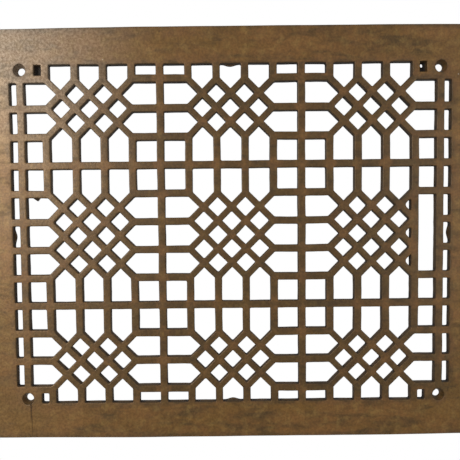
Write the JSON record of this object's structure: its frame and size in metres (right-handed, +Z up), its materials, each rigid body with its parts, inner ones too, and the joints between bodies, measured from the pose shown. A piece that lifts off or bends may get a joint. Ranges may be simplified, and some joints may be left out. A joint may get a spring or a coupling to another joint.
{
  "type": "return air grille",
  "caption": "Flat cast iron return air grille: a plain border round a lattice of straight and diagonal bars, with countersunk corner screw holes and a tall lever slot.",
  "frame": {"origin": "middle of the flat back, on the lattice's central crossing, where the back plane meets the wall", "axes": "+X to the right and +Z up, seen from the front; +Y runs from the front into the wall"},
  "size_m": [0.3548, 0.0063, 0.2856],
  "materials": {
    "cast_iron": "mottled bronze-brown patina, satin, paler and worn at the upper left, orange rust tints where bars cross and around the screw holes"
  },
  "bodies": {
    "root": {"grille_casting": "cast_iron"}
  },
  "joints": []
}
